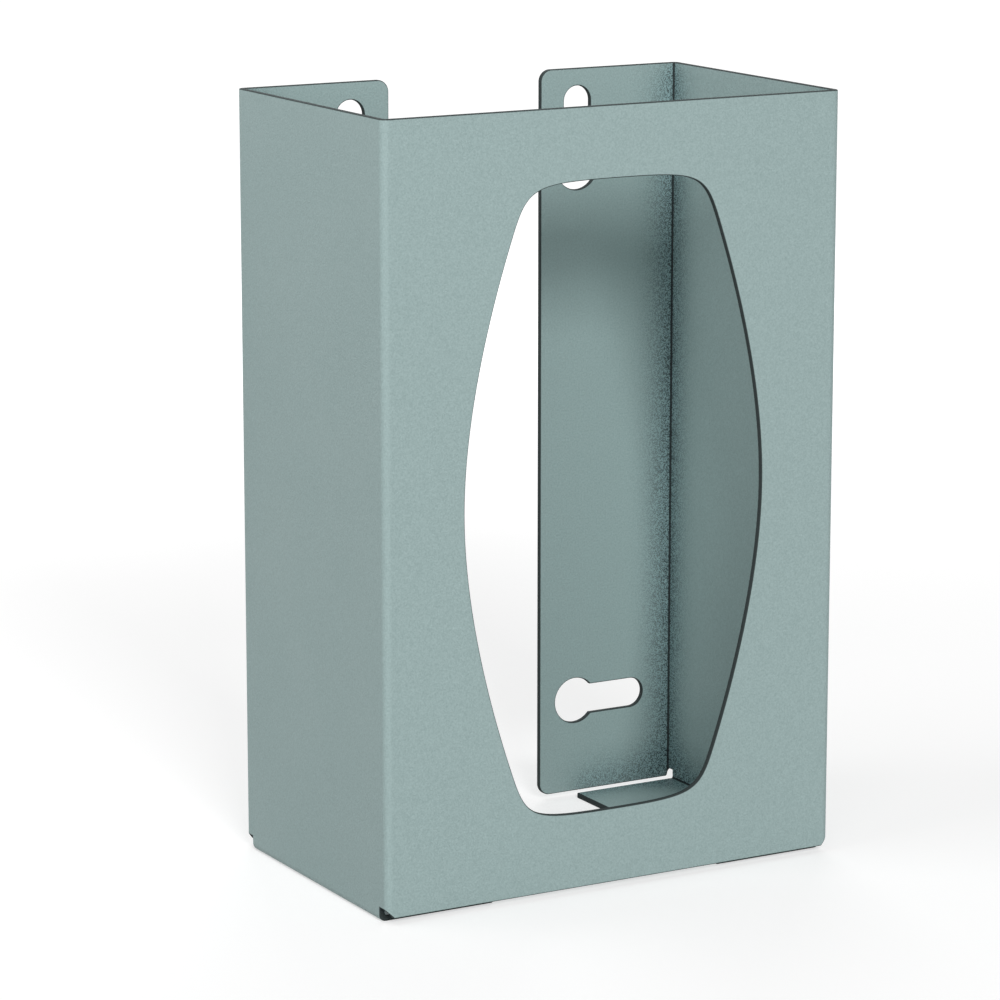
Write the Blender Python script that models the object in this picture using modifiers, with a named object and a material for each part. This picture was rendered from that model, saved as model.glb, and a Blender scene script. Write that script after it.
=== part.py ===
"""Wall holder for a carton of disposable gloves, folded from one blank of powder-coated sheet steel.

The front, the two sides, the two wall flanges behind and the two foot tabs below are panels
of the same sheet. The half of the outer skin at +X is drawn as flat panels that meet at
sharp folds. Modifiers then mirror it, round its free corners and its folds, and give it the
sheet's thickness. The aperture and the keyholes are cut last.

Metres, +Z up. The front faces -Y. The origin is under the middle of the holder, at the level
of the foot tabs' undersides.
"""

import math

import bmesh
import bpy
from mathutils import Matrix, Vector

MM = 0.001

# The sheet and its bends.
SHEET = 2.0 * MM
BEND_INNER_RADIUS = 0.4 * MM
BEND_SEGMENTS = 8

# The holder, over its outer faces.
WIDTH = 166.5 * MM
DEPTH = 100.0 * MM
HEIGHT = 254.0 * MM

# The wall flanges, measured from the outer face of the side that carries each.
FLANGE_WIDTH = 54.4 * MM
FLANGE_CORNER_RADIUS = 4.0 * MM
CORNER_SEGMENTS = 8

# The foot tabs, measured from the same face, and the relief that frees their folds.
TAB_LENGTH = 40.8 * MM
RELIEF_CLEARANCE = 2.4 * MM
CHAMFER_CLEARANCE = 0.3 * MM

# The aperture that gloves are drawn through, and what it leaves of the front above and below.
# Its sides bow outwards and run into the ends at the shoulders.
APERTURE_WIDTH = 109.8 * MM
APERTURE_TOP_MARGIN = 23.0 * MM
APERTURE_FOOT_MARGIN = 24.7 * MM
SHOULDER_WIDTH = 76.8 * MM
SHOULDER_DROP = 18.2 * MM
SHOULDER_TAPER = math.radians(19.0)

# How far each curve handle reaches, as a share of the height or width that its curve spans.
SIDE_PULL = 0.39
SHOULDER_SIDE_PULL = 0.21
SHOULDER_END_PULL = 1.0
END_PULL = 0.83
CURVE_STEPS = 14

# The keyholes: a screw head goes in at the round end and its neck slides to the slot's end.
KEYHOLE_DIAMETER = 15.8 * MM
SLOT_WIDTH = 10.2 * MM
SLOT_TRAVEL = 22.2 * MM
KEYHOLE_INSET = 14.2 * MM
UPPER_SLOT_DROP = 11.0 * MM
LOWER_KEYHOLE_RISE = 32.5 * MM
ARC_STEP = math.radians(10.0)

# How far a cutter stands out of each face of the sheet.
CUTTER_MARGIN = 3.0 * MM

# Two places closer than this are one place.
TOUCH = 0.01 * MM

# Faces that turn less than the first angle make one flat panel, and those that turn more than
# the second make a fold. An edge sharper than the third is shaded crisp.
FLAT_ANGLE = math.radians(1.0)
FOLD_ANGLE = math.radians(45.0)
CRISP_ANGLE = math.radians(30.0)

# Levels and places that follow from the sizes above.
bend_outer_radius = BEND_INNER_RADIUS + SHEET
front_face = -DEPTH / 2
wall_face = DEPTH / 2
side_face = WIDTH / 2
flange_edge = side_face - FLANGE_WIDTH
panel_foot = SHEET
relief_depth = bend_outer_radius + RELIEF_CLEARANCE
chamfer_width = bend_outer_radius + CHAMFER_CLEARANCE
aperture_top = HEIGHT - APERTURE_TOP_MARGIN
aperture_foot = panel_foot + APERTURE_FOOT_MARGIN


def clear_scene():
    """Empties the scene, so that the script can run from any file."""
    for obj in list(bpy.data.objects):
        bpy.data.objects.remove(obj)


def new_collection(name):
    """A collection of this name, linked to the scene."""
    collection = bpy.data.collections.new(name)
    bpy.context.scene.collection.children.link(collection)
    return collection


def new_object(name, data, collection):
    """An object of this name that shows the data, in the collection."""
    obj = bpy.data.objects.new(name, data)
    collection.objects.link(obj)
    return obj


def powder_coat():
    """Grey-green powder coat with a low sheen."""
    material = bpy.data.materials.new("powder_coated_steel")
    material.use_nodes = True
    shader = material.node_tree.nodes["Principled BSDF"]
    shader.inputs["Base Color"].default_value = (0.32, 0.41, 0.40, 1.0)
    shader.inputs["Roughness"].default_value = 0.5
    shader.inputs["Metallic"].default_value = 0.0
    return material


def at(place, level):
    """Whether a coordinate lies at a level."""
    return abs(place - level) < TOUCH


def raised(bm, edges, rise):
    """Extrudes the edges straight up, and returns the new upper edges."""
    made = bmesh.ops.extrude_edge_only(bm, edges=edges)["geom"]
    corners = [item for item in made if isinstance(item, bmesh.types.BMVert)]
    bmesh.ops.translate(bm, verts=corners, vec=(0, 0, rise))
    upper = set(corners)
    return [
        item
        for item in made
        if isinstance(item, bmesh.types.BMEdge) and set(item.verts) <= upper
    ]


def draw_wall_panels(bm):
    """Half of the front, one side and its wall flange, raised from their plan in two steps.

    The first step ends at the top of the reliefs.
    """
    plan = [
        (0, front_face),
        (side_face, front_face),
        (side_face, wall_face),
        (flange_edge, wall_face),
    ]
    foot = [bm.verts.new((x, y, panel_foot)) for x, y in plan]
    edges = [bm.edges.new(ends) for ends in zip(foot, foot[1:])]
    edges = raised(bm, edges, relief_depth - panel_foot)
    raised(bm, edges, HEIGHT - relief_depth)


def cut_reliefs(bm):
    """Frees the foot of the side from both upright folds, and chamfers the panels beside it."""
    for y in (front_face + relief_depth, wall_face - relief_depth):
        everything = bm.verts[:] + bm.edges[:] + bm.faces[:]
        bmesh.ops.bisect_plane(bm, geom=everything, plane_co=(0, y, 0), plane_no=(0, 1, 0))
    freed = [
        face
        for face in bm.faces
        if all(at(corner.co.x, side_face) for corner in face.verts)
        and face.calc_center_median().z < relief_depth
        and abs(face.calc_center_median().y) > wall_face - relief_depth
    ]
    bmesh.ops.delete(bm, geom=freed, context="FACES")
    for corner in bm.verts:
        on_fold = at(corner.co.x, side_face) and at(abs(corner.co.y), wall_face)
        if on_fold and at(corner.co.z, panel_foot):
            corner.co.x -= chamfer_width


def fold_tab(bm):
    """Carries the foot of the side down to the ground and turns it in under the carton."""
    foot = [
        edge
        for edge in bm.edges
        if all(at(corner.co.x, side_face) for corner in edge.verts)
        and all(at(corner.co.z, panel_foot) for corner in edge.verts)
    ]
    corners = {corner for edge in foot for corner in edge.verts}
    bmesh.ops.translate(bm, verts=list(corners), vec=(0, 0, -panel_foot))
    made = bmesh.ops.extrude_edge_only(bm, edges=foot)["geom"]
    free = [item for item in made if isinstance(item, bmesh.types.BMVert)]
    bmesh.ops.translate(bm, verts=free, vec=(-TAB_LENGTH, 0, 0))


def folded_skin():
    """The outer skin of the half at +X, as flat panels that meet at sharp folds."""
    bm = bmesh.new()
    draw_wall_panels(bm)
    bmesh.ops.recalc_face_normals(bm, faces=bm.faces)
    cut_reliefs(bm)
    fold_tab(bm)
    bmesh.ops.dissolve_limit(bm, angle_limit=FLAT_ANGLE, verts=bm.verts, edges=bm.edges)
    bmesh.ops.recalc_face_normals(bm, faces=bm.faces)
    mesh = bpy.data.meshes.new("folded_skin")
    bm.to_mesh(mesh)
    bm.free()
    return mesh


def mark_free_corners(sheet):
    """Gathers the free corners of the wall flange in a vertex group, and returns its name."""
    group = sheet.vertex_groups.new(name="free_corners")
    chosen = [
        corner.index
        for corner in sheet.data.vertices
        if at(corner.co.y, wall_face) and at(corner.co.x, flange_edge)
    ]
    group.add(chosen, 1.0, "REPLACE")
    return group.name


def form_sheet(sheet):
    """Mirrors the half skin, rounds its corners and folds, and gives it the sheet's thickness."""
    mirror = sheet.modifiers.new("other half", "MIRROR")
    mirror.merge_threshold = TOUCH

    corners = sheet.modifiers.new("rounded flange corners", "BEVEL")
    corners.affect = "VERTICES"
    corners.limit_method = "VGROUP"
    corners.vertex_group = mark_free_corners(sheet)
    corners.width = FLANGE_CORNER_RADIUS
    corners.segments = CORNER_SEGMENTS

    folds = sheet.modifiers.new("bends", "BEVEL")
    folds.limit_method = "ANGLE"
    folds.angle_limit = FOLD_ANGLE
    folds.width = bend_outer_radius
    folds.segments = BEND_SEGMENTS

    gauge = sheet.modifiers.new("sheet thickness", "SOLIDIFY")
    gauge.thickness = SHEET
    gauge.offset = -1.0
    gauge.use_even_offset = True


def arc(centre, radius, start, end):
    """Points along an arc in the XY plane, both ends included."""
    count = max(2, math.ceil(abs(end - start) / ARC_STEP))
    angles = [start + (end - start) * step / count for step in range(count + 1)]
    return [
        (centre[0] + radius * math.cos(angle), centre[1] + radius * math.sin(angle))
        for angle in angles
    ]


def keyhole_outline():
    """A round hole about the origin and a slot that runs from it along +X."""
    neck = math.asin(SLOT_WIDTH / KEYHOLE_DIAMETER)
    head = arc((0, 0), KEYHOLE_DIAMETER / 2, neck, 2 * math.pi - neck)
    slot_end = arc((SLOT_TRAVEL, 0), SLOT_WIDTH / 2, -math.pi / 2, math.pi / 2)
    return head + slot_end


def flat_curve(name, half_thickness):
    """An empty 2D curve, filled and extruded to both sides of its own plane."""
    curve = bpy.data.curves.new(name, "CURVE")
    curve.dimensions = "2D"
    curve.fill_mode = "BOTH"
    curve.extrude = half_thickness
    return curve


def keyhole_curve():
    """The keyhole as a filled outline."""
    curve = flat_curve("keyhole_outline", SHEET / 2 + CUTTER_MARGIN)
    points = keyhole_outline()
    spline = curve.splines.new("POLY")
    spline.points.add(len(points) - 1)
    for point, (x, y) in zip(spline.points, points):
        point.co = (x, y, 0, 1)
    spline.use_cyclic_u = True
    return curve


def aperture_knots():
    """The aperture's knots, anticlockwise from +X, each with its direction and handle lengths.

    A knot is (position, direction of travel, length of the handle before, and after).
    """
    half_width = APERTURE_WIDTH / 2
    half_height = (aperture_top - aperture_foot) / 2
    shoulder = Vector((SHOULDER_WIDTH / 2, half_height - SHOULDER_DROP))
    lean = Vector((-math.sin(SHOULDER_TAPER), math.cos(SHOULDER_TAPER)))
    side = SIDE_PULL * shoulder.y
    below = SHOULDER_SIDE_PULL * shoulder.y
    above = SHOULDER_END_PULL * SHOULDER_DROP
    end = END_PULL * shoulder.x
    across = Vector((-1, 1))
    return [
        (Vector((half_width, 0)), Vector((0, 1)), side, side),
        (shoulder, lean, below, above),
        (Vector((0, half_height)), Vector((-1, 0)), end, end),
        (shoulder * across, lean * -across, above, below),
        (Vector((-half_width, 0)), Vector((0, -1)), side, side),
        (-shoulder, -lean, below, above),
        (Vector((0, -half_height)), Vector((1, 0)), end, end),
        (shoulder * -across, lean * across, above, below),
    ]


def aperture_curve():
    """The aperture as a filled outline of smooth curves."""
    curve = flat_curve("aperture_outline", SHEET / 2 + CUTTER_MARGIN)
    curve.resolution_u = CURVE_STEPS
    knots = aperture_knots()
    spline = curve.splines.new("BEZIER")
    spline.bezier_points.add(len(knots) - 1)
    for knot, (place, direction, before, after) in zip(spline.bezier_points, knots):
        knot.handle_left_type = "FREE"
        knot.handle_right_type = "FREE"
        knot.co = place.to_3d()
        knot.handle_left = (place - direction * before).to_3d()
        knot.handle_right = (place + direction * after).to_3d()
    spline.use_cyclic_u = True
    return curve


def cutter(name, curve, place, turn, collection):
    """A closed mesh made from a flat curve, stood upright at its place.

    The curve's X axis is turned about the object's depth by the angle given.
    """
    guide = new_object(name + "_guide", curve, collection)
    guide.matrix_world = (
        Matrix.Translation(place)
        @ Matrix.Rotation(math.pi / 2, 4, "X")
        @ Matrix.Rotation(turn, 4, "Z")
    )
    graph = bpy.context.evaluated_depsgraph_get()
    mesh = bpy.data.meshes.new_from_object(guide.evaluated_get(graph))
    mesh.name = name
    bm = bmesh.new()
    bm.from_mesh(mesh)
    bmesh.ops.remove_doubles(bm, verts=bm.verts, dist=TOUCH)
    bmesh.ops.recalc_face_normals(bm, faces=bm.faces)
    bm.to_mesh(mesh)
    bm.free()
    mesh.shade_smooth()
    tool = new_object(name, mesh, collection)
    tool.matrix_world = guide.matrix_world
    tool.hide_render = True
    tool.display_type = "WIRE"
    bpy.data.objects.remove(guide)
    return tool


def keyhole_cutters(collection):
    """Cutters for the four keyholes: upper slots run up, lower slots run out to the sides."""
    level = wall_face - SHEET / 2
    upper = HEIGHT - UPPER_SLOT_DROP - SLOT_TRAVEL
    lower = panel_foot + LOWER_KEYHOLE_RISE
    tools = []
    for side, label in ((1, "right"), (-1, "left")):
        x = side * (flange_edge + KEYHOLE_INSET)
        outward = 0 if side > 0 else math.pi
        for height, row, turn in ((upper, "upper", math.pi / 2), (lower, "lower", outward)):
            name = f"{label}_{row}_keyhole"
            place = Vector((x, level, height))
            tools.append(cutter(name, keyhole_curve(), place, turn, collection))
    return tools


def crisp_edges():
    """Geometry nodes that shade the cut edges crisp and the bends smooth, by their angle."""
    group = bpy.data.node_groups.new("crisp_edges", "GeometryNodeTree")
    for way in ("INPUT", "OUTPUT"):
        group.interface.new_socket("Geometry", in_out=way, socket_type="NodeSocketGeometry")
    sheet = group.nodes.new("NodeGroupInput")
    turn = group.nodes.new("GeometryNodeInputMeshEdgeAngle")
    gentle = group.nodes.new("FunctionNodeCompare")
    gentle.operation = "LESS_THAN"
    gentle.inputs["B"].default_value = CRISP_ANGLE
    shade = group.nodes.new("GeometryNodeSetShadeSmooth")
    shade.domain = "EDGE"
    result = group.nodes.new("NodeGroupOutput")
    group.links.new(sheet.outputs["Geometry"], shade.inputs["Geometry"])
    group.links.new(turn.outputs["Unsigned Angle"], gentle.inputs["A"])
    group.links.new(gentle.outputs["Result"], shade.inputs["Shade Smooth"])
    group.links.new(shade.outputs["Geometry"], result.inputs["Geometry"])
    return group


def cut(body, tool):
    """Takes the cutter's shape out of the body."""
    boolean = body.modifiers.new(tool.name, "BOOLEAN")
    boolean.operation = "DIFFERENCE"
    boolean.object = tool


def build():
    """Builds the holder and leaves its modifiers live."""
    clear_scene()
    parts = new_collection("disposable_glove_dispenser")
    cutters = new_collection("cutters")

    body = new_object("dispenser_body", folded_skin(), parts)
    body.data.materials.append(powder_coat())
    body.data.shade_smooth()
    form_sheet(body)

    middle = Vector((0, front_face + SHEET / 2, (aperture_top + aperture_foot) / 2))
    cut(body, cutter("aperture", aperture_curve(), middle, 0, cutters))
    for tool in keyhole_cutters(cutters):
        cut(body, tool)
    body.modifiers.new("crisp edges", "NODES").node_group = crisp_edges()


build()
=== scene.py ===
"""A glove dispenser of folded, powder-coated sheet steel, standing on a pale studio floor.

The holder is made again here as its maker makes it, with a finer surface than the frame's
solid has. A blank is cut from sheet, its edges are eased, and it is folded at six lines.
Then come the coat, the floor, the soft lights and the camera.

Metres, +Z up. The front faces -Y.
"""

import math

import bmesh
import bpy
from mathutils import Euler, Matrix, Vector


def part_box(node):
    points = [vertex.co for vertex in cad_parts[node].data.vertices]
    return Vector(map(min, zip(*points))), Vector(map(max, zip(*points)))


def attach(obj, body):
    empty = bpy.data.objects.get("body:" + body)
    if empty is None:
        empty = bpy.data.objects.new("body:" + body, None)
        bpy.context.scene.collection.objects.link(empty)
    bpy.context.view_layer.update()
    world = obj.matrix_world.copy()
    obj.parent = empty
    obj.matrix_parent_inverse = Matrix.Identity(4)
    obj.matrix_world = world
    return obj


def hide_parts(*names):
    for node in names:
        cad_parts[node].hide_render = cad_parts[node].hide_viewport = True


MM = 0.001

# The sheet, its bends, and the easing that deburring leaves on every cut edge.
SHEET = 2.0 * MM
BEND_INNER_RADIUS = 0.4 * MM
BEND_FACETS = 12
EASED_RADIUS = 0.4 * MM
EASED_STEPS = 2

# The wall flanges and the foot tabs, measured from the outer face of the side.
FLANGE_WIDTH = 54.4 * MM
FLANGE_CORNER_RADIUS = 4.0 * MM
TAB_LENGTH = 40.8 * MM
RELIEF_CLEARANCE = 2.4 * MM
CHAMFER_CLEARANCE = 0.3 * MM

# The aperture, with its distances from the top and the foot of the front panel.
APERTURE_WIDTH = 109.8 * MM
APERTURE_TOP_MARGIN = 23.0 * MM
APERTURE_FOOT_MARGIN = 24.7 * MM
SHOULDER_WIDTH = 76.8 * MM
SHOULDER_DROP = 18.2 * MM
SHOULDER_TAPER = math.radians(19.0)
SIDE_PULL = 0.39
SHOULDER_SIDE_PULL = 0.21
SHOULDER_END_PULL = 1.0
END_PULL = 0.83
CURVE_STEPS = 36

# The keyholes.
KEYHOLE_DIAMETER = 15.8 * MM
SLOT_WIDTH = 10.2 * MM
SLOT_TRAVEL = 22.2 * MM
KEYHOLE_INSET = 14.2 * MM
UPPER_SLOT_DROP = 11.0 * MM
LOWER_KEYHOLE_RISE = 32.5 * MM
ARC_STEP = math.radians(4.0)

# Places closer than this are one place, and faces that meet more sharply than this stay crisp.
TOUCH = 0.001 * MM
CRISP_ANGLE = math.radians(50.0)

# The coat's colours, the light and dark of the painted corner shade, and the cut edges' dark scale,
# also painted into the creases as shade.
COAT_LIGHT = "#A5BAB9"
COAT_DEEP = "#93A8A7"
CORNER_SHADE_LIGHT = "#8CABAE"
CORNER_SHADE_DARK = "#2C3C3F"
SCALE_AND_CREASE_SHADE_COLOUR = "#171C1D"

# How far the painted shade of inside corners reaches, and how open a place is where it is deepest
# and where it ends.
CORNER_REACH = 18.0 * MM
CORNER_SAMPLES = 8
CORNER_SHADE_DEEPEST = 0.4
CORNER_SHADE_ENDS = 1.05

# The mark on the cut edges, for their dark scale, and on the inside creases, for painted shade; how
# dark it makes them; and how far past a bend it fades out.
SCALE_AND_CREASE_SHADE_MARK = "bare"
SCALE_AND_CREASE_DARKNESS = 0.92
CREASE_SHADE_SPREAD = 0.25 * MM

# The coat's gloss and its texture. The grain and the specks are drawn about twice as coarse as
# real ones, which are too fine to show, and the orange peel at its real 2 to 3 mm.
COAT_IOR = 1.5
COAT_SHINE = 0.3
SATIN = 0.55
SATIN_DRIFT = 0.04
SCALE_AND_CREASE_ROUGHNESS = 0.95
CLOUD_SIZE = 35.0 * MM
GRAIN_SIZE = 0.6 * MM
GRAIN_DETAIL = 3.0
GRAIN_ROUGHNESS = 0.6
GRAIN_HEIGHT = 0.12 * MM
SPECK_SIZE = 0.3 * MM
PEEL_SIZE = 2.6 * MM
PEEL_DETAIL = 1.0
PEEL_HEIGHT = 0.05 * MM

# Most of a noise lies between this low and this high, which are stretched to the whole range.
# The specks' two are closer together, so that most specks are plainly dark or plainly light.
NOISE_LOW = 0.3
NOISE_HIGH = 0.7
SPECKS_LOW = 0.42
SPECKS_HIGH = 0.58

# The floor, a hair below the tabs so that the two don't merge, and its glow to the eye:
# under the holder, further out, and where it changes.
FLOOR_COLOUR = "#C0C0C0"
FLOOR_WIDTH = 30.0
FLOOR_GAP = 0.02 * MM
GLOW_NEAR = 0.55
GLOW_FAR = 0.9
GLOW_START = 0.3
GLOW_END = 1.3

# The camera, fitted to the picture's edges.
IMAGE_SIDE_PX = 1000
FOCAL_LENGTH_PX = 4138.3
SENSOR_WIDTH_MM = 36.0
EYE = Vector((-0.66499, -1.14954, 0.40121))
HEADING = math.radians(29.52)
DIP = math.radians(12.0)

# The room's even light, and the soft lights round the middle of the holder. Each has its
# bearing from the front towards -X, its height above the horizon, its distance, its side
# and its power in watts.
ROOM_LIGHT = 0.26
LIGHTS_AIM = Vector((0, 0, 0.13))
SOFTBOXES = {
    "key": (math.radians(16), math.radians(27), 4.5, 1.2, 101.0),
    "fill": (math.radians(40), math.radians(15), 2.0, 1.0, 8.3),
    "side_light": (math.radians(100), math.radians(60), 0.7, 0.4, 1.5),
    "back_light": (math.radians(210), math.radians(30), 1.3, 0.7, 5.0),
}

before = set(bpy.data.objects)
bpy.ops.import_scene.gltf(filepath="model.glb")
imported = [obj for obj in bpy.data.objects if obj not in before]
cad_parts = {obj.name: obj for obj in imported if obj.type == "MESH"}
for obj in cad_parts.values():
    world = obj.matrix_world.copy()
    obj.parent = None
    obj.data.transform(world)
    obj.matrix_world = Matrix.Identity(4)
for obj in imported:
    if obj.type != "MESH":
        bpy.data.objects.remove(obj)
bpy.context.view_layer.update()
lowest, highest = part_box("dispenser_body")

# Levels and places that follow from the frame and the sizes above. The front and the flanges
# end level with the tabs' upper faces.
BEND_RADIUS = BEND_INNER_RADIUS + SHEET
BEND_LENGTH = BEND_RADIUS * math.pi / 2
FRONT_FACE = lowest.y
WALL_FACE = highest.y
SIDE_FACE = highest.x
TOP = highest.z
PANEL_FOOT = SHEET
FLANGE_EDGE = SIDE_FACE - FLANGE_WIDTH
RELIEF_TOP = BEND_RADIUS + RELIEF_CLEARANCE
CHAMFER_WIDTH = BEND_RADIUS + CHAMFER_CLEARANCE

# Where the folds start along the blank, measured from the middle of the front.
FRONT_FOLD = SIDE_FACE - BEND_RADIUS
SIDE_START = FRONT_FOLD + BEND_LENGTH
WALL_FOLD = SIDE_START + WALL_FACE - FRONT_FACE - 2 * BEND_RADIUS
FLANGE_START = WALL_FOLD + BEND_LENGTH
BLANK_END = FLANGE_START + FRONT_FOLD - FLANGE_EDGE
TAB_END = BEND_RADIUS - BEND_LENGTH - (TAB_LENGTH - BEND_RADIUS)


def linear(code):
    """An sRGB colour such as #9BAEAD as linear red, green, blue and alpha."""
    channels = [int(code[place:place + 2], 16) / 255 for place in (1, 3, 5)]
    return [c / 12.92 if c <= 0.04045 else ((c + 0.055) / 1.055) ** 2.4 for c in channels] + [1.0]


def find(sockets, key):
    """The socket in use that has this name or number."""
    if isinstance(key, int):
        return sockets[key]
    return next(socket for socket in sockets if socket.enabled and socket.name == key)


def add(tree, kind, settings=(), inputs=()):
    """Adds a node. Each input takes a value, or the (node, output) that it is linked to."""
    node = tree.nodes.new(kind)
    for name, value in dict(settings).items():
        setattr(node, name, value)
    for key, value in dict(inputs).items():
        socket = find(node.inputs, key)
        if isinstance(value, tuple) and isinstance(value[0], bpy.types.Node):
            tree.links.new(find(value[0].outputs, value[1]), socket)
        else:
            socket.default_value = value
    return node


def new_material(name):
    """A material with an empty node tree, and the tree."""
    material = bpy.data.materials.new(name)
    material.use_nodes = True
    material.node_tree.nodes.clear()
    return material, material.node_tree


def powder_coat():
    """Polyester powder coat, sprayed on dry and baked on steel.

    It flows into a satin skin with the shallow ripple of orange peel and a fine grain. Inside
    corners are darkened with painted, speckled shade, and the crease of each fold is painted
    nearly black as shade. On the cut edges it hardly hides the dark scale that the cutting beam
    leaves.
    """
    material, tree = new_material("powder_coated_steel")
    place = (add(tree, "ShaderNodeTexCoord"), "Object")
    cloud = add(tree, "ShaderNodeTexNoise", inputs={"Vector": place, "Scale": 1 / CLOUD_SIZE})
    peel = add(
        tree,
        "ShaderNodeTexNoise",
        inputs={"Vector": place, "Scale": 1 / PEEL_SIZE, "Detail": PEEL_DETAIL},
    )
    grain = add(
        tree,
        "ShaderNodeTexNoise",
        inputs={
            "Vector": place,
            "Scale": 1 / GRAIN_SIZE,
            "Detail": GRAIN_DETAIL,
            "Roughness": GRAIN_ROUGHNESS,
        },
    )
    shade = add(
        tree,
        "ShaderNodeMapRange",
        inputs={"Value": (grain, "Fac"), "From Min": NOISE_LOW, "From Max": NOISE_HIGH},
    )
    full_coat = add(
        tree,
        "ShaderNodeMix",
        {"data_type": "RGBA"},
        {"Factor": (shade, "Result"), "A": linear(COAT_DEEP), "B": linear(COAT_LIGHT)},
    )

    # Painted shade: where ambient occlusion finds a place closed in, the coat's colour is mixed
    # towards a darker, speckled one.
    openness = add(
        tree,
        "ShaderNodeAmbientOcclusion",
        {"only_local": True, "samples": CORNER_SAMPLES},
        {"Distance": CORNER_REACH},
    )
    corner_shade = add(
        tree,
        "ShaderNodeMapRange",
        {"interpolation_type": "SMOOTHSTEP"},
        {
            "Value": (openness, "AO"),
            "From Min": CORNER_SHADE_DEEPEST,
            "From Max": CORNER_SHADE_ENDS,
            "To Min": 1.0,
            "To Max": 0.0,
        },
    )
    specks = add(tree, "ShaderNodeTexVoronoi", inputs={"Vector": place, "Scale": 1 / SPECK_SIZE})
    cover = add(
        tree,
        "ShaderNodeMapRange",
        inputs={"Value": (specks, "Color"), "From Min": SPECKS_LOW, "From Max": SPECKS_HIGH},
    )
    speckled_corner_shade = add(
        tree,
        "ShaderNodeMix",
        {"data_type": "RGBA"},
        {"Factor": (cover, "Result"), "A": linear(CORNER_SHADE_DARK), "B": linear(CORNER_SHADE_LIGHT)},
    )
    corners = add(
        tree,
        "ShaderNodeMix",
        {"data_type": "RGBA"},
        {
            "Factor": (corner_shade, "Result"),
            "A": (full_coat, "Result"),
            "B": (speckled_corner_shade, "Result"),
        },
    )

    # Painted shade in the creases, and the cut edges' dark scale: both are mixed towards the one
    # dark colour.
    bare = add(tree, "ShaderNodeAttribute", {"attribute_name": SCALE_AND_CREASE_SHADE_MARK})
    scale_and_crease_darkness = add(
        tree,
        "ShaderNodeMath",
        {"operation": "MULTIPLY"},
        {0: (bare, "Fac"), 1: SCALE_AND_CREASE_DARKNESS},
    )
    colour = add(
        tree,
        "ShaderNodeMix",
        {"data_type": "RGBA"},
        {"Factor": (scale_and_crease_darkness, "Value"), "A": (corners, "Result"), "B": linear(SCALE_AND_CREASE_SHADE_COLOUR)},
    )

    gloss = add(
        tree,
        "ShaderNodeMapRange",
        inputs={
            "Value": (cloud, "Fac"),
            "From Min": NOISE_LOW,
            "From Max": NOISE_HIGH,
            "To Min": SATIN - SATIN_DRIFT,
            "To Max": SATIN + SATIN_DRIFT,
        },
    )
    roughness = add(
        tree,
        "ShaderNodeMix",
        inputs={
            "Factor": (scale_and_crease_darkness, "Value"),
            "A": (gloss, "Result"),
            "B": SCALE_AND_CREASE_ROUGHNESS,
        },
    )
    ripple = add(
        tree,
        "ShaderNodeBump",
        inputs={"Height": (peel, "Fac"), "Distance": PEEL_HEIGHT},
    )
    skin = add(
        tree,
        "ShaderNodeBump",
        inputs={"Height": (grain, "Fac"), "Distance": GRAIN_HEIGHT, "Normal": (ripple, "Normal")},
    )
    shader = add(
        tree,
        "ShaderNodeBsdfPrincipled",
        inputs={
            "Base Color": (colour, "Result"),
            "Roughness": (roughness, "Result"),
            "IOR": COAT_IOR,
            "Specular IOR Level": COAT_SHINE,
            "Normal": (skin, "Normal"),
        },
    )
    add(tree, "ShaderNodeOutputMaterial", inputs={"Surface": (shader, "BSDF")})
    return material


def arc(centre, radius, start, end):
    """Points along an arc, both ends included."""
    count = max(2, math.ceil(abs(end - start) / ARC_STEP))
    angles = [start + (end - start) * step / count for step in range(count + 1)]
    return [
        (centre[0] + radius * math.cos(angle), centre[1] + radius * math.sin(angle))
        for angle in angles
    ]


def chamfer_across(fold, way):
    """The foot of a fold, where the chamfer runs on from the flat panel to the relief.

    Seen square to the panel, the chamfer is one straight slope. On the blank it is a curve.
    """
    slope = (RELIEF_TOP - PANEL_FOOT) / CHAMFER_WIDTH
    points = []
    for step in range(BEND_FACETS + 1):
        turn = math.pi / 2 * step / BEND_FACETS
        short_of_side = BEND_RADIUS * (1 - math.sin(turn))
        points.append((fold + way * BEND_RADIUS * turn, RELIEF_TOP - slope * short_of_side))
    return points


def half_blank():
    """The blank's outline at +X, from the foot of the front's middle round to the top."""
    chamfer_start = FRONT_FOLD - CHAMFER_CLEARANCE
    tab_front = SIDE_START + RELIEF_CLEARANCE
    tab_back = WALL_FOLD - RELIEF_CLEARANCE
    corner = FLANGE_CORNER_RADIUS
    return [
        (chamfer_start, PANEL_FOOT),
        *chamfer_across(FRONT_FOLD, 1),
        (tab_front, RELIEF_TOP),
        (tab_front, TAB_END),
        (tab_back, TAB_END),
        (tab_back, RELIEF_TOP),
        *reversed(chamfer_across(FLANGE_START, -1)),
        (FLANGE_START + CHAMFER_CLEARANCE, PANEL_FOOT),
        *arc((BLANK_END - corner, PANEL_FOOT + corner), corner, -math.pi / 2, 0),
        *arc((BLANK_END - corner, TOP - corner), corner, 0, math.pi / 2),
    ]


def mirrored(points):
    """The same outline at -X, in the order that closes the loop."""
    return [(-x, y) for x, y in reversed(points)]


def add_outline(curve, points):
    """A closed outline of straight steps."""
    spline = curve.splines.new("POLY")
    spline.points.add(len(points) - 1)
    for point, (x, y) in zip(spline.points, points):
        point.co = (x, y, 0, 1)
    spline.use_cyclic_u = True


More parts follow.
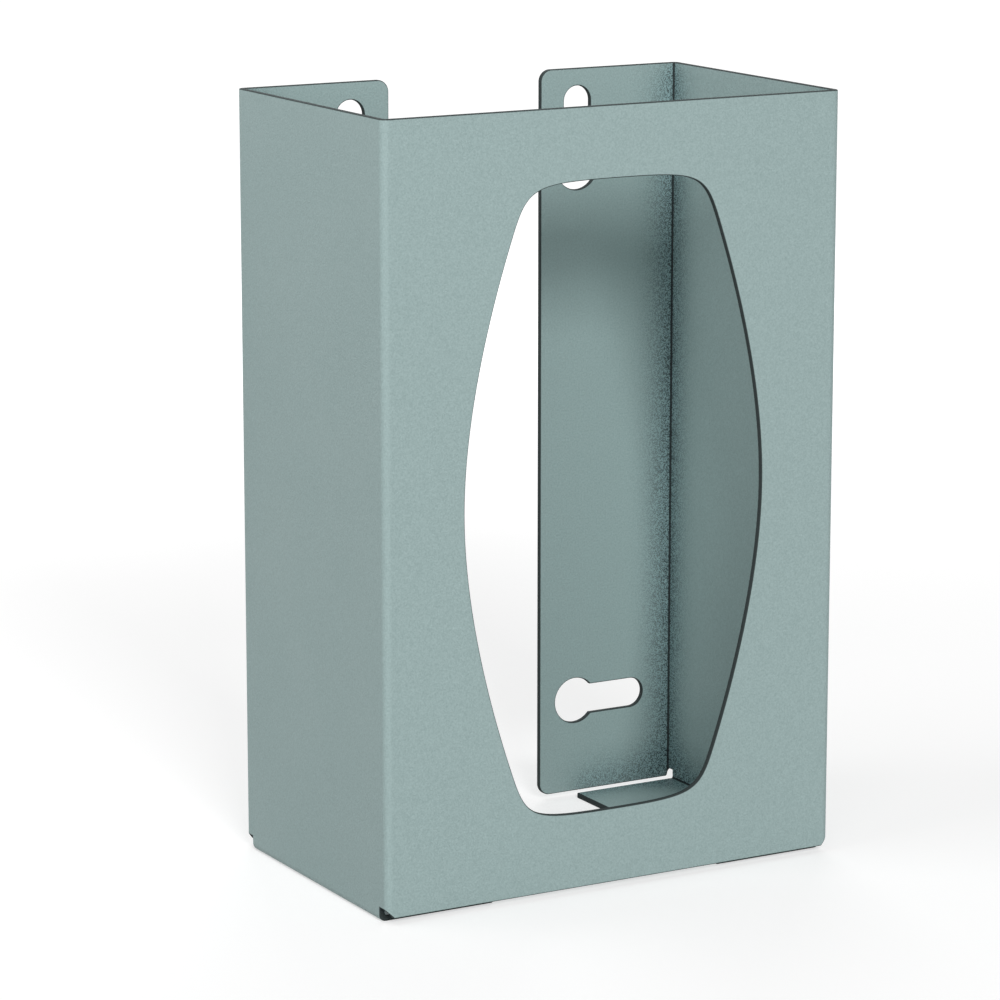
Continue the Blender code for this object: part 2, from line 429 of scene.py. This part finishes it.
def add_keyholes(curve):
    """The four keyholes on the blank: upper slots run up, lower slots run towards the sides."""
    neck = math.asin(SLOT_WIDTH / KEYHOLE_DIAMETER)
    head = arc((0, 0), KEYHOLE_DIAMETER / 2, neck, 2 * math.pi - neck)
    slot_end = arc((SLOT_TRAVEL, 0), SLOT_WIDTH / 2, -math.pi / 2, math.pi / 2)
    keyhole = head + slot_end
    run = BLANK_END - KEYHOLE_INSET
    upper = TOP - UPPER_SLOT_DROP - SLOT_TRAVEL
    lower = PANEL_FOOT + LOWER_KEYHOLE_RISE
    for outline in (
        [(run - y, upper + x) for x, y in keyhole],
        [(run - x, lower + y) for x, y in keyhole],
    ):
        add_outline(curve, outline)
        add_outline(curve, mirrored(outline))


def add_aperture(curve):
    """The aperture. Its sides bow outwards and run into the ends at the shoulders."""
    height = TOP - APERTURE_TOP_MARGIN - PANEL_FOOT - APERTURE_FOOT_MARGIN
    middle = Vector((0, PANEL_FOOT + APERTURE_FOOT_MARGIN + height / 2))
    side = Vector((APERTURE_WIDTH / 2, 0))
    end = Vector((0, height / 2))
    shoulder = Vector((SHOULDER_WIDTH / 2, height / 2 - SHOULDER_DROP))
    lean = Vector((-math.sin(SHOULDER_TAPER), math.cos(SHOULDER_TAPER)))
    side_reach = SIDE_PULL * shoulder.y
    below = SHOULDER_SIDE_PULL * shoulder.y
    above = SHOULDER_END_PULL * SHOULDER_DROP
    end_reach = END_PULL * shoulder.x
    across = Vector((-1, 1))
    knots = [
        (side, Vector((0, 1)), side_reach, side_reach),
        (shoulder, lean, below, above),
        (end, Vector((-1, 0)), end_reach, end_reach),
        (shoulder * across, lean * -across, above, below),
        (-side, Vector((0, -1)), side_reach, side_reach),
        (-shoulder, -lean, below, above),
        (-end, Vector((1, 0)), end_reach, end_reach),
        (shoulder * -across, lean * across, above, below),
    ]
    spline = curve.splines.new("BEZIER")
    spline.bezier_points.add(len(knots) - 1)
    for knot, (offset, direction, before, after) in zip(spline.bezier_points, knots):
        knot.handle_left_type = "FREE"
        knot.handle_right_type = "FREE"
        place = middle + offset
        knot.co = place.to_3d()
        knot.handle_left = (place - direction * before).to_3d()
        knot.handle_right = (place + direction * after).to_3d()
    spline.use_cyclic_u = True


def cut_blank():
    """The flat blank with its holes, its outer face up, and every cut edge eased."""
    curve = bpy.data.curves.new("blank", "CURVE")
    curve.dimensions = "2D"
    curve.fill_mode = "BOTH"
    curve.extrude = SHEET / 2 - EASED_RADIUS
    curve.bevel_depth = EASED_RADIUS
    curve.bevel_resolution = EASED_STEPS
    curve.offset = -EASED_RADIUS
    curve.resolution_u = CURVE_STEPS
    half = half_blank()
    add_outline(curve, half + mirrored(half))
    add_aperture(curve)
    add_keyholes(curve)
    guide = bpy.data.objects.new("blank", curve)
    bpy.context.scene.collection.objects.link(guide)
    graph = bpy.context.evaluated_depsgraph_get()
    mesh = bpy.data.meshes.new_from_object(guide.evaluated_get(graph))
    bpy.data.objects.remove(guide)
    return mesh


def mark_scale_and_crease_shade(bm):
    """Marks the cut edges, for their dark scale, and the crease of every fold, for painted shade.
    """
    bare = bm.verts.layers.float.new(SCALE_AND_CREASE_SHADE_MARK)
    for corner in bm.verts:
        run, level, height = corner.co
        on_cut_edge = abs(height) < SHEET / 2 - TOUCH
        inside = height < TOUCH - SHEET / 2
        in_a_crease = inside and in_a_bend(abs(run), level)
        # A crease is marked for painted shade, and a cut edge for its dark scale.
        corner[bare] = float(on_cut_edge or in_a_crease)


def in_a_bend(run, level):
    """Whether a place on the blank at +X lies within one of the folds' bends."""
    past_fold = [run - FRONT_FOLD, run - WALL_FOLD]
    if SIDE_START < run < WALL_FOLD:
        past_fold.append(BEND_RADIUS - level)
    return any(-TOUCH < distance < BEND_LENGTH + TOUCH for distance in past_fold)


def crease(bm, faces, along, places):
    """Cuts edge lines across the faces, square to an axis, so that they can bend there."""
    normal = Vector((0, 0, 0))
    normal[along] = 1.0
    for place in places:
        edges = {edge for face in faces for edge in face.edges}
        corners = {corner for face in faces for corner in face.verts}
        made = bmesh.ops.bisect_plane(
            bm,
            geom=[*corners, *edges, *faces],
            dist=TOUCH,
            plane_co=normal * place,
            plane_no=normal,
        )
        faces = [item for item in made["geom"] if isinstance(item, bmesh.types.BMFace)]


def round_the_fold(distance, depth):
    """Where a point of the sheet comes to lie at a right-angle fold.

    The distance is measured along the outer face from the start of the bend, and the depth
    from that face inwards. The answer is how far the point lies past the start of the bend,
    and how far inwards from the first panel's outer face.
    """
    if distance <= 0:
        return distance, depth
    turn = min(distance / BEND_RADIUS, math.pi / 2)
    beyond = max(distance - BEND_LENGTH, 0)
    radius = BEND_RADIUS - depth
    return radius * math.sin(turn), BEND_RADIUS - radius * math.cos(turn) + beyond


def folded(run, level, depth):
    """Where a point of the blank at +X lies once the blank is folded."""
    if SIDE_START < run < WALL_FOLD:
        drop, depth = round_the_fold(BEND_RADIUS - level, depth)
        level = BEND_RADIUS - drop
    if run < SIDE_START:
        ahead, inward = round_the_fold(run - FRONT_FOLD, depth)
        return Vector((FRONT_FOLD + ahead, FRONT_FACE + inward, level))
    ahead, inward = round_the_fold(run - WALL_FOLD, depth)
    return Vector((SIDE_FACE - inward, WALL_FACE - BEND_RADIUS + ahead, level))


def crease_bends(bm):
    """Cuts the lines across the flat blank at which its bends turn, and where the painted crease
    shade ends.
    """
    steps = [BEND_LENGTH * step / BEND_FACETS for step in range(BEND_FACETS + 1)]
    steps = [-CREASE_SHADE_SPREAD, *steps, BEND_LENGTH + CREASE_SHADE_SPREAD]
    runs = [fold + step for fold in (FRONT_FOLD, WALL_FOLD) for step in steps]
    crease(bm, bm.faces[:], 0, runs + [-run for run in runs])
    sides = [
        face
        for face in bm.faces
        if SIDE_START < abs(face.calc_center_median().x) < WALL_FOLD
    ]
    crease(bm, sides, 1, [BEND_RADIUS - step for step in steps])


def fold_blank(bm):
    """Folds the flat blank: the foot tabs first, then the four upright folds."""
    for corner in bm.verts:
        run, level, height = corner.co
        corner.co = folded(abs(run), level, SHEET / 2 - height)
        corner.co.x = math.copysign(corner.co.x, run)


def folded_sheet():
    """The holder: one blank, cut, eased, folded and coated."""
    mesh = cut_blank()
    bm = bmesh.new()
    bm.from_mesh(mesh)
    bmesh.ops.remove_doubles(bm, verts=bm.verts, dist=TOUCH)
    bmesh.ops.recalc_face_normals(bm, faces=bm.faces)
    crease_bends(bm)
    mark_scale_and_crease_shade(bm)
    fold_blank(bm)
    bmesh.ops.recalc_face_normals(bm, faces=bm.faces)
    bm.to_mesh(mesh)
    bm.free()
    mesh.shade_smooth()
    mesh.set_sharp_from_angle(angle=CRISP_ANGLE)
    mesh.materials.clear()
    mesh.materials.append(powder_coat())
    sheet = bpy.data.objects.new("folded_sheet", mesh)
    bpy.context.scene.collection.objects.link(sheet)
    sheet.modifiers.new("flat panels", "WEIGHTED_NORMAL").keep_sharp = True
    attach(sheet, "root")
    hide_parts("dispenser_body")


def seen_by_eye(tree):
    """One for what the camera sees, straight or by way of a gloss or a clear piece, else zero."""
    ray = add(tree, "ShaderNodeLightPath")
    seen = (ray, "Is Camera Ray")
    for also in ("Is Glossy Ray", "Is Transmission Ray"):
        both = add(tree, "ShaderNodeMath", {"operation": "MAXIMUM"}, {0: seen, 1: (ray, also)})
        seen = (both, "Value")
    return seen


def floor():
    """Matt paper, pressed from pulp, which scatters the light evenly and has no gloss.

    To the eye it also glows, so that it shows white, and less under the holder, where the
    shadow lies.
    """
    material, tree = new_material("pale_paper")
    surface = add(tree, "ShaderNodeBsdfDiffuse", inputs={"Color": linear(FLOOR_COLOUR)})
    place = add(tree, "ShaderNodeTexCoord")
    away = add(tree, "ShaderNodeVectorMath", {"operation": "LENGTH"}, {0: (place, "Object")})
    glow_there = add(
        tree,
        "ShaderNodeMapRange",
        {"interpolation_type": "SMOOTHSTEP"},
        {
            "Value": (away, "Value"),
            "From Min": GLOW_START,
            "From Max": GLOW_END,
            "To Min": GLOW_NEAR,
            "To Max": GLOW_FAR,
        },
    )
    strength = add(
        tree,
        "ShaderNodeMath",
        {"operation": "MULTIPLY"},
        {0: seen_by_eye(tree), 1: (glow_there, "Result")},
    )
    glow = add(tree, "ShaderNodeEmission", inputs={"Strength": (strength, "Value")})
    both = add(tree, "ShaderNodeAddShader", inputs={0: (surface, "BSDF"), 1: (glow, "Emission")})
    add(tree, "ShaderNodeOutputMaterial", inputs={"Surface": (both, "Shader")})
    mesh = bpy.data.meshes.new("studio_floor")
    bm = bmesh.new()
    bmesh.ops.create_grid(bm, x_segments=1, y_segments=1, size=FLOOR_WIDTH / 2)
    bm.to_mesh(mesh)
    bm.free()
    mesh.materials.append(material)
    obj = bpy.data.objects.new("studio_floor", mesh)
    obj.location.z = -FLOOR_GAP
    bpy.context.scene.collection.objects.link(obj)


def room():
    """Even light from all round, which the camera sees as white."""
    world = bpy.data.worlds.new("studio")
    world.use_nodes = True
    bpy.context.scene.world = world
    tree = world.node_tree
    tree.nodes.clear()
    strength = add(
        tree,
        "ShaderNodeMapRange",
        inputs={"Value": seen_by_eye(tree), "To Min": ROOM_LIGHT, "To Max": 1.0},
    )
    light = add(
        tree,
        "ShaderNodeBackground",
        inputs={"Color": (1, 1, 1, 1), "Strength": (strength, "Result")},
    )
    add(tree, "ShaderNodeOutputWorld", inputs={"Surface": (light, "Background")})


def softbox(name, bearing, height, distance, size, power):
    """A square soft light, turned to the middle of the holder."""
    light = bpy.data.lights.new(name, "AREA")
    light.size = size
    light.energy = power
    obj = bpy.data.objects.new(name, light)
    turn = Euler((math.pi / 2 - height, 0, -bearing))
    away = Vector((0, 0, distance))
    away.rotate(turn)
    obj.location = LIGHTS_AIM + away
    obj.rotation_euler = turn
    bpy.context.scene.collection.objects.link(obj)


def camera():
    """The camera, where the picture was taken from."""
    data = bpy.data.cameras.new("camera")
    data.sensor_width = SENSOR_WIDTH_MM
    data.lens = FOCAL_LENGTH_PX / IMAGE_SIDE_PX * SENSOR_WIDTH_MM
    obj = bpy.data.objects.new("camera", data)
    obj.location = EYE
    obj.rotation_euler = Euler((math.pi / 2 - DIP, 0, -HEADING))
    bpy.context.scene.collection.objects.link(obj)
    bpy.context.scene.camera = obj


folded_sheet()
floor()
room()
for name, setting in SOFTBOXES.items():
    softbox(name, *setting)
camera()
bpy.context.scene.view_settings.view_transform = "Standard"
